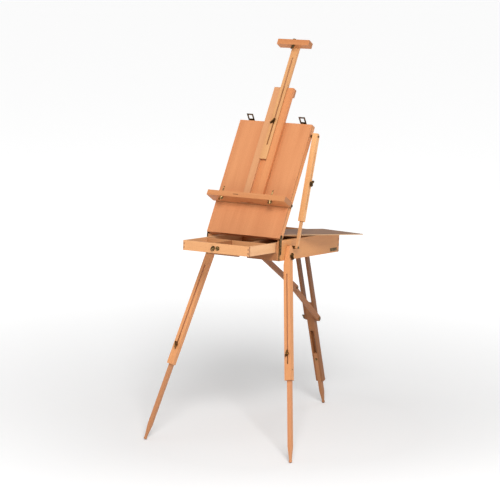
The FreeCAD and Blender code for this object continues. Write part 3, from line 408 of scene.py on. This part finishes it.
def screw_tree():
    """Slotted screw heads, one at each given point, each turned its own way."""
    tree = bpy.data.node_groups.new("slotted_heads", "GeometryNodeTree")
    ids, given, result = inputs_of(tree, (("Geometry", "NodeSocketGeometry"), ("Radius", "NodeSocketFloat"),
                                          ("Height", "NodeSocketFloat"), ("Seed", "NodeSocketInt"),
                                          ("Material", "NodeSocketMaterial")))
    head = node_at(tree, "GeometryNodeMeshCylinder", {"Vertices": 24})
    tree.links.new(given.outputs["Radius"], head.inputs["Radius"])
    tree.links.new(given.outputs["Height"], head.inputs["Depth"])
    slit_size = node_at(tree, "ShaderNodeCombineXYZ")
    for axis, factor, source in (("X", 3.0, "Radius"), ("Y", 0.3, "Radius"), ("Z", 1.0, "Height")):
        part = node_at(tree, "ShaderNodeMath", {1: factor}, operation="MULTIPLY")
        tree.links.new(given.outputs[source], part.inputs[0])
        tree.links.new(part.outputs["Value"], slit_size.inputs[axis])
    slit = node_at(tree, "GeometryNodeMeshCube")
    tree.links.new(slit_size.outputs["Vector"], slit.inputs["Size"])
    raise_by = node_at(tree, "ShaderNodeCombineXYZ")
    lift = node_at(tree, "ShaderNodeMath", {1: 0.6}, operation="MULTIPLY")
    tree.links.new(given.outputs["Height"], lift.inputs[0])
    tree.links.new(lift.outputs["Value"], raise_by.inputs["Z"])
    raised = node_at(tree, "GeometryNodeTransform")
    tree.links.new(slit.outputs["Mesh"], raised.inputs["Geometry"])
    tree.links.new(raise_by.outputs["Vector"], raised.inputs["Translation"])
    cut = node_at(tree, "GeometryNodeMeshBoolean", operation="DIFFERENCE")
    tree.links.new(head.outputs["Mesh"], cut.inputs[0])
    tree.links.new(raised.outputs["Geometry"], cut.inputs[1])
    spin = node_at(tree, "FunctionNodeRandomValue",
                   {0: (0, 0, 0), 1: (0, 0, 3.14)}, data_type="FLOAT_VECTOR")
    tree.links.new(given.outputs["Seed"], spin.inputs["Seed"])
    placed = node_at(tree, "GeometryNodeInstanceOnPoints")
    tree.links.new(given.outputs["Geometry"], placed.inputs["Points"])
    tree.links.new(cut.outputs["Mesh"], placed.inputs["Instance"])
    tree.links.new(spin.outputs[0], placed.inputs["Rotation"])
    finish_tree(tree, placed, given, result)
    return tree, ids


SLOTTED, SCREW_IN = screw_tree()
screw_paint = bronze("screw_bronze", tone=1.3, roughness=0.32)


def screws(name, body, points, out, place, radius=0.0024, height=0.0012):
    """Screw heads at points given in one part's own measures, facing along out."""
    out = Vector(out)
    turn = out.to_track_quat("Z", "Y").to_matrix()
    local = [turn.transposed() @ (Vector(p) + out * (height / 2 - SCREW_SINK)) for p in points]
    values = {SCREW_IN["Radius"]: radius, SCREW_IN["Height"]: height, SCREW_IN["Seed"]: 11,
              SCREW_IN["Material"]: screw_paint}
    return baked(name, SLOTTED, values, [tuple(p) for p in local], place @ turn.to_4x4(), body)


fitting_paint = bronze("fitting_bronze")
for cad_node, name in (("lid_brackets", "lid_bracket_plates"), ("under_pins", "under_hinge_pins"),
                       ("arm_stud", "arm_foot_stud"), ("latch_catches", "hasp_catches"),
                       ("blank_plate", "plain_plate"), ("leg_bolts", "leg_pivot_bolts")):
    eased(cad_node, "box", fitting_paint, name, 0.0003)
for side, x in (("left", -1), ("right", 1)):
    screws("bracket_screws_" + side, "box",
           [(x * BRACKET_FACE, BRACKET_Y, z) for z in BRACKET_SCREW_Z], (x, 0, 0), ON_BOX)
screws("catch_screws", "box",
       [(x + dx, CATCH_FACE, CATCH_Z) for x in (-HASP_X, HASP_X) for dx in (-CATCH_SCREW, CATCH_SCREW)],
       (0, 1, 0), ON_BOX)
screws("plate_pins", "box", [(PLATE_FACE, y, PLATE_PIN_Z) for y in PLATE_PIN_Y], (1, 0, 0), ON_BOX,
       0.0012, 0.0008)

# ---- The drawer ---------------------------------------------------------------------------------
# A shallow beech tray on the two runners, finger-jointed, with a thin bottom and three dividers; two
# round bronzed catch plates and a drop ring are screwed to its front.
DRAWER_HALF_WIDTH = 0.1655
DRAWER_FACE, DRAWER_BACK = -0.5048, -0.0088     # as it stands, pulled out towards the painter
DRAWER_FRONT_BOARD, DRAWER_SIDE_BOARD = 0.010, 0.008
DRAWER_LOWEST, DRAWER_PITCH, DRAWER_FINGER = 0.0405, 0.0173, 0.0085
FRONT_FINGER_DEPTH, SIDE_FINGER_DEPTH = 0.0098, 0.0078
drawer_front_paint = beech("drawer_front_beech", TO_RIGHT, tone=1.0)
drawer_side_paint = beech("drawer_side_beech", BOX_BACK, BOX_UP, tint=(1.18, 1.32, 1.5))
eased("drawer_front", "drawer", drawer_front_paint, "drawer_front_board")
eased("drawer_sides", "drawer", drawer_side_paint, "drawer_side_boards")
eased("drawer_back", "drawer", beech("drawer_back_beech", TO_RIGHT, tone=0.9), "drawer_back_board")
# The drawer bottom's low tone is painted shade under the drawer.
eased("drawer_bottom", "drawer",
      beech("drawer_bottom_beech", TO_RIGHT, BOX_BACK, tone=0.6, tint=(1, 0.88, 0.8)),
      "drawer_bottom_panel", 0.0003)
eased("drawer_dividers", "drawer", beech("divider_beech", TO_RIGHT, BOX_BACK, tone=0.9),
      "drawer_divider_boards", 0.0006)
eased("drawer_catch_plates", "drawer", bronze("catch_bronze", 1.5, 0.34), "drawer_catch", 0.0003)
eased("drawer_ring", "drawer_ring", bronze("ring_bronze", 1.2, 0.3), "drawer_drop_ring", 0.0002)
for side, x in (("left", -DRAWER_HALF_WIDTH), ("right", DRAWER_HALF_WIDTH)):
    inward = math.copysign(DRAWER_SIDE_BOARD / 2, -x)
    fingers("drawer_end_fingers_" + side, "drawer", end_paint,
            (x, DRAWER_FACE + DRAWER_FRONT_BOARD / 2, DRAWER_LOWEST), (0, 0, DRAWER_PITCH),
            (2 * PROUD, FRONT_FINGER_DEPTH, DRAWER_FINGER), 3, ON_BOX)
    face_end_paint = beech("drawer_finger_" + side, BOX_BACK, BOX_UP, tone=0.85)
    fingers("drawer_face_fingers_" + side, "drawer", face_end_paint,
            (x + inward, DRAWER_FACE, DRAWER_LOWEST + DRAWER_FINGER), (0, 0, DRAWER_PITCH),
            (SIDE_FINGER_DEPTH, 2 * PROUD, DRAWER_FINGER), 2, ON_BOX)
    fingers("drawer_back_fingers_" + side, "drawer", end_paint, (x, DRAWER_BACK, DRAWER_LOWEST),
            (0, 0, DRAWER_PITCH), (2 * PROUD, SIDE_FINGER_DEPTH, DRAWER_FINGER), 3, ON_BOX)

# ---- The lid ------------------------------------------------------------------------------------
# A thin beech-faced panel pinned on a frame of four finger-jointed rails.  It pivots on pins in the
# two brackets; loop hasps hang from plates on its far end and the mast bolt passes through that end.
LID_UP = Vector(joint["lower_mast_slide"]["axis"])
LID_FACE = TO_RIGHT.cross(LID_UP)
LID_TURN = Matrix((TO_RIGHT, LID_UP, LID_FACE)).transposed()
LID_HEEL_FACE = Vector((0, -0.012, 0.0145))     # the heel's outer edge, from the pivot
lid_corner = Vector(joint["lid_hinge"]["pos_m"]) + LID_TURN @ LID_HEEL_FACE
ON_LID = Matrix.Translation(lid_corner) @ LID_TURN.to_4x4()    # x right, y up the lid, z out of its face
LID_HALF_WIDTH = 0.1847
LID_HEEL, LID_HEAD = 0.006, 0.544       # the middles of its two end rails
LID_LOWEST, LID_PITCH, LID_FINGER = -0.0245, 0.0098, 0.0048
PANEL_PIN_X, PANEL_PIN_UP = 0.177, (0.02, 0.15, 0.28, 0.41, 0.53)
HASP_PLATE_UP, HASP_PLATE_Z, HASP_SCREW = 0.5514, -0.0215, 0.009
lid_side_paint = beech("lid_side_beech", LID_UP, LID_FACE, tint=(1.0, 0.86, 0.78))
eased("lid_panel", "lid",
      beech("lid_panel_beech", LID_UP, TO_RIGHT, tone=0.96, tint=(0.95, 0.77, 0.72)),
      "lid_face_panel", 0.0007)
eased("lid_sides", "lid", lid_side_paint, "lid_side_rails")
eased("lid_bottom_rail", "lid",
      beech("lid_heel_beech", TO_RIGHT, tone=0.9, tint=(1, 0.8, 0.72)), "lid_heel_rail")
eased("lid_top_rail", "lid",
      beech("lid_head_beech", TO_RIGHT, tone=0.95, tint=(1, 0.8, 0.72)), "lid_head_rail")
for cad_node, name in (("lid_pivot_pins", "lid_pins"), ("arm_bolts", "arm_top_bolts"),
                       ("mast_clamp", "mast_bolt_and_nut"), ("hasp_hinges", "hasp_plates")):
    eased(cad_node, "lid", fitting_paint, name, 0.0003)
hasp_paint = bronze("hasp_bronze", 0.9, 0.42)
eased("hasp_left", "hasp_left", hasp_paint, "left_hasp_loop", 0.0003)
eased("hasp_right", "hasp_right", hasp_paint, "right_hasp_loop", 0.0003)
for side, x in (("left", -LID_HALF_WIDTH), ("right", LID_HALF_WIDTH)):
    for end, up in (("top", LID_HEAD), ("bottom", LID_HEEL)):
        fingers("lid_fingers_" + end + "_" + side, "lid", end_paint, (x, up, LID_LOWEST),
                (0, 0, LID_PITCH), (2 * PROUD, FINGER_DEPTH, LID_FINGER), 2, ON_LID)
screws("panel_pins", "lid", [(x, up, 0) for x in (-PANEL_PIN_X, PANEL_PIN_X) for up in PANEL_PIN_UP],
       (0, 0, 1), ON_LID, 0.0011, 0.0007)
screws("hasp_plate_screws", "lid",
       [(x + dx, HASP_PLATE_UP, HASP_PLATE_Z) for x in (-HASP_X, HASP_X) for dx in (-HASP_SCREW, HASP_SCREW)],
       (0, 1, 0), ON_LID, 0.002, 0.001)

# ---- The masts ----------------------------------------------------------------------------------
# A broad grooved mast slides up the lid and carries the canvas ledge on two clamp bolts; a narrow
# slotted one slides in its groove and carries the upper canvas clamp.
STAVE_EDGE = -0.0165                     # where two staves of the broad mast are glued
STAVE_GAIN = (0.95, 1.14, 1.36)


def pale_stave(paint, right_edge, gain):
    """The board is glued up from staves, and the one left of this edge is paler."""
    tree = paint.node_tree
    bsdf = tree.nodes["Principled BSDF"]
    plain = bsdf.inputs["Base Color"].links[0].from_socket
    where = node_at(tree, "ShaderNodeTexCoord")
    apart = node_at(tree, "ShaderNodeSeparateXYZ")
    tree.links.new(where.outputs["Object"], apart.inputs["Vector"])
    left = node_at(tree, "ShaderNodeMath", {1: right_edge}, operation="LESS_THAN")
    tree.links.new(apart.outputs["X"], left.inputs[0])
    paler = node_at(tree, "ShaderNodeMix", {7: gain + (1,)}, data_type="RGBA", blend_type="MULTIPLY")
    tree.links.new(left.outputs["Value"], paler.inputs["Factor"])
    tree.links.new(plain, paler.inputs[6])
    tree.links.new(paler.outputs[2], bsdf.inputs["Base Color"])
    return paint


mast_paint = beech("mast_beech", LID_UP, TO_RIGHT, tone=0.98, tint=(0.97, 0.76, 0.66))
eased("lower_mast", "lower_mast", pale_stave(mast_paint, STAVE_EDGE, STAVE_GAIN), "broad_mast")
eased("mast_stop_block", "lower_mast",
      beech("stop_beech", TO_RIGHT, tone=0.85, tint=(1, 0.8, 0.7)), "mast_stop")
eased("ledge", "lower_mast",
      beech("ledge_beech", TO_RIGHT, LID_FACE, tone=0.92, tint=(0.95, 0.79, 0.7)), "canvas_ledge", 0.001)
eased("ledge_bolts", "lower_mast", bronze("ledge_bolt_brass", 2.4, 0.3),
      "ledge_clamp_bolts", 0.0003)
eased("ledge_guides", "lower_mast", fitting_paint, "ledge_side_guides", 0.0003)
eased("upper_mast", "upper_mast",
      beech("narrow_mast_beech", LID_UP, TO_RIGHT, tone=0.96, tint=(0.98, 0.98, 0.92)), "narrow_mast")
eased("top_clamp", "upper_mast",
      beech("clamp_beech", TO_RIGHT, LID_FACE, tone=0.84, tint=(1, 0.8, 0.7)), "canvas_clamp", 0.001)
eased("clamp_bolt", "upper_mast", fitting_paint, "canvas_clamp_bolt", 0.0003)

# ---- The side arm -------------------------------------------------------------------------------
# A grooved and slotted beech bar hung from the lid and a square strut sliding in it, clamped by a
# wing nut and footed on a stud in the box side.
ARM_UP = Vector(joint["side_arm_slide"]["axis"])
eased("side_arm", "side_arm",
      beech("arm_beech", ARM_UP, TO_RIGHT, tone=1.06, tint=(1.04, 1.06, 1.0)), "arm_bar")
eased("side_strut", "side_strut",
      beech("strut_beech", ARM_UP, TO_RIGHT, tone=0.95), "strut_bar", 0.0006)
eased("strut_bolts", "side_strut", fitting_paint, "strut_bolt_and_nut", 0.0003)

# ---- The palette --------------------------------------------------------------------------------
# One sheet of thin plywood with a thumb hole, cut out and sanded round its edge.  Its faces are
# stained a dull brown and oiled, and the pale plies are left bare at the edge.
def stained_ply(name, up):
    """Streaked brown stain on faces that look along up, pale layers everywhere else."""
    paint = bpy.data.materials.new(name)
    paint.use_nodes = True
    tree = paint.node_tree
    link = tree.links.new
    bsdf = tree.nodes["Principled BSDF"]
    where = node_at(tree, "ShaderNodeTexCoord")
    stretch = node_at(tree, "ShaderNodeMapping", {"Rotation": (0, 0, 0.42), "Scale": (70.0, 6.0, 70.0)})
    link(where.outputs["Object"], stretch.inputs["Vector"])
    figure = node_at(tree, "ShaderNodeTexNoise", {"Scale": 1.0, "Detail": 5.0})
    link(stretch.outputs["Vector"], figure.inputs["Vector"])
    face = ramp(tree, ((0.3, (0.24, 0.120, 0.060, 1)), (0.55, (0.31, 0.160, 0.083, 1)),
                       (0.8, (0.39, 0.205, 0.11, 1))))
    link(figure.outputs["Fac"], face.inputs["Fac"])
    plies = node_at(tree, "ShaderNodeTexWave", {"Scale": 260.0}, bands_direction="Z")
    link(where.outputs["Object"], plies.inputs["Vector"])
    edge = ramp(tree, ((0.2, (0.62, 0.40, 0.22, 1)), (0.8, (0.50, 0.29, 0.14, 1))))
    link(plies.outputs["Fac"], edge.inputs["Fac"])
    facing = node_at(tree, "ShaderNodeVectorMath", {1: up}, operation="DOT_PRODUCT")
    link(where.outputs["Normal"], facing.inputs[0])
    flat = node_at(tree, "ShaderNodeMath", operation="ABSOLUTE")
    link(facing.outputs["Value"], flat.inputs[0])
    on_face = node_at(tree, "ShaderNodeMapRange", {"From Min": 0.4, "From Max": 0.8}, clamp=True)
    link(flat.outputs["Value"], on_face.inputs["Value"])
    both = node_at(tree, "ShaderNodeMix", data_type="RGBA")
    link(on_face.outputs["Result"], both.inputs["Factor"])
    link(edge.outputs["Color"], both.inputs[6])
    link(face.outputs["Color"], both.inputs[7])
    link(both.outputs[2], bsdf.inputs["Base Color"])
    sheen = node_at(tree, "ShaderNodeMapRange", {"To Min": 0.42, "To Max": 0.6})
    link(figure.outputs["Fac"], sheen.inputs["Value"])
    link(sheen.outputs["Result"], bsdf.inputs["Roughness"])
    return paint


eased("palette", "palette", stained_ply("palette_stain", BOX_UP), "palette_board", 0.0004)

# ---- The legs -----------------------------------------------------------------------------------
# Two beech legs bolted to the box sides and a rear leg in a fork, each grooved and slotted for a
# shank that slides out and is clamped by a wing nut; the shanks end in turned ball feet.
STOP_PIN = (0.0162, 0, 0.503)           # across the leg and down it, from its pivot
clamp_paint = bronze("clamp_brass", 1.8, 0.32)
for side, shank_tone in (("left", 0.74), ("right", 0.93)):
    down = Vector(joint["foot_" + side + "_slide"]["axis"])
    eased("front_leg_" + side, "leg_" + side,
          beech("leg_beech_" + side, down, TO_RIGHT, tint=(1.0, 0.88, 0.8)), "leg_bar_" + side)
    eased("front_foot_" + side, "foot_" + side,
          beech("foot_beech_" + side, down, TO_RIGHT, tone=shank_tone, tint=(1, 0.86, 0.86)),
          "foot_bar_" + side)
    eased("foot_clamp_" + side, "foot_" + side, clamp_paint, "foot_clamp_bolt_" + side, 0.0003)
leg_down = Vector(joint["foot_right_slide"]["axis"])
leg_out = (TO_RIGHT - leg_down * TO_RIGHT.dot(leg_down)).normalized()
leg_turn = Matrix((leg_out, leg_down.cross(leg_out), leg_down)).transposed()
ON_RIGHT_LEG = Matrix.Translation(Vector(joint["leg_right_hinge"]["pos_m"])) @ leg_turn.to_4x4()
screws("leg_stop_pin_right", "leg_right", [STOP_PIN], (1, 0, 0), ON_RIGHT_LEG, 0.0022, 0.0016)
REAR_DOWN = Vector(joint["rear_foot_slide"]["axis"])
# The fork, rear leg and rear foot are toned far darker as painted shade.
eased("fork_bars", "rear_fork",
      beech("fork_beech", REAR_DOWN, TO_RIGHT, tone=0.34, tint=(1, 0.74, 0.54)), "fork_pair")
eased("fork_bolt", "rear_fork", fitting_paint, "fork_bolt_and_nut", 0.0003)
eased("rear_leg", "rear_leg",
      beech("rear_leg_beech", REAR_DOWN, TO_RIGHT, tone=0.41, tint=(1, 0.76, 0.58)), "rear_leg_bar")
eased("rear_foot", "rear_foot",
      beech("rear_foot_beech", REAR_DOWN, TO_RIGHT, tone=0.56, tint=(1, 0.86, 0.8)), "rear_foot_bar")
eased("rear_foot_clamp", "rear_foot", fitting_paint, "rear_clamp_bolt", 0.0003)

# ---- The brace ----------------------------------------------------------------------------------
# Two flat beech strips, pinned together at the knee, that hold the rear leg off the box and fold
# under it; bronzed pins are peened over at the ends.
knee = Vector(joint["brace_knee"]["pos_m"])
front_half = knee - Vector(joint["brace_upper_hinge"]["pos_m"])
rear_half = Vector(joint["rear_leg_hinge"]["pos_m"]) - knee
front_half.x = 0
rear_half.x = 0
# Both halves of the brace are toned darker as painted shade.
eased("brace_upper", "brace_upper",
      beech("brace_upper_beech", front_half, TO_RIGHT, tone=0.46, tint=(1, 0.74, 0.52)),
      "brace_front_half")
eased("brace_lower", "brace_lower",
      beech("brace_lower_beech", rear_half, TO_RIGHT, tone=0.46, tint=(1, 0.74, 0.52)),
      "brace_rear_half")
eased("brace_pins", "brace_lower", fitting_paint, "brace_knee_pins", 0.0003)
